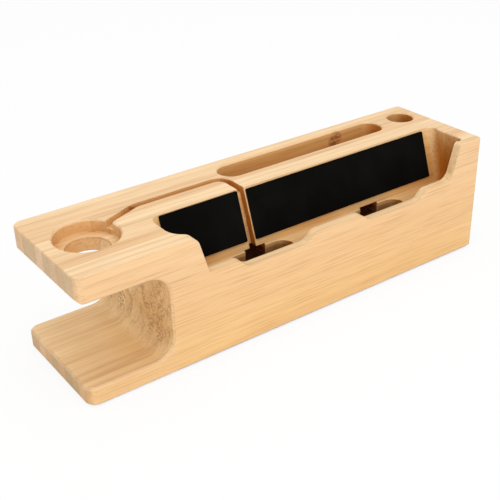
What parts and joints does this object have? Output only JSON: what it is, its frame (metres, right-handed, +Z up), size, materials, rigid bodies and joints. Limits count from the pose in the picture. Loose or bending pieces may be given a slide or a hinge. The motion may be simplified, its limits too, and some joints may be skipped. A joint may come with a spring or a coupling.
{
  "type": "charging station organizer",
  "caption": "Laminated bamboo charging dock: a watch bracket open to the left, a cable groove, a padded phone bay with cable windows, a pen slot and a stylus hole.",
  "frame": {"origin": "middle of the footprint, at the level of the feet", "axes": "+X towards the stylus end, +Y towards the back, +Z up"},
  "size_m": [0.245, 0.065, 0.067],
  "materials": {
    "bamboo": "satin",
    "pad": "matte",
    "foot": "matte"
  },
  "bodies": {
    "root": {"base_stave_1": "bamboo", "base_stave_2": "bamboo", "base_stave_3": "bamboo", "base_stave_4": "bamboo", "base_stave_5": "bamboo", "base_stave_6": "bamboo", "base_stave_7": "bamboo", "base_stave_8": "bamboo", "base_stave_9": "bamboo", "base_stave_10": "bamboo", "middle_stave_1": "bamboo", "middle_stave_2": "bamboo", "middle_stave_3": "bamboo", "middle_stave_4": "bamboo", "middle_stave_5": "bamboo", "middle_stave_6": "bamboo", "middle_stave_7": "bamboo", "middle_stave_8": "bamboo", "middle_stave_9": "bamboo", "middle_stave_10": "bamboo", "top_stave_1": "bamboo", "top_stave_2": "bamboo", "top_stave_3": "bamboo", "top_stave_4": "bamboo", "top_stave_5": "bamboo", "top_stave_6": "bamboo", "top_stave_7": "bamboo", "top_stave_8": "bamboo", "top_stave_9": "bamboo", "top_stave_10": "bamboo", "left_pad": "pad", "right_pad": "pad", "front_left_foot": "foot", "front_right_foot": "foot", "rear_left_foot": "foot", "rear_right_foot": "foot"}
  },
  "joints": []
}
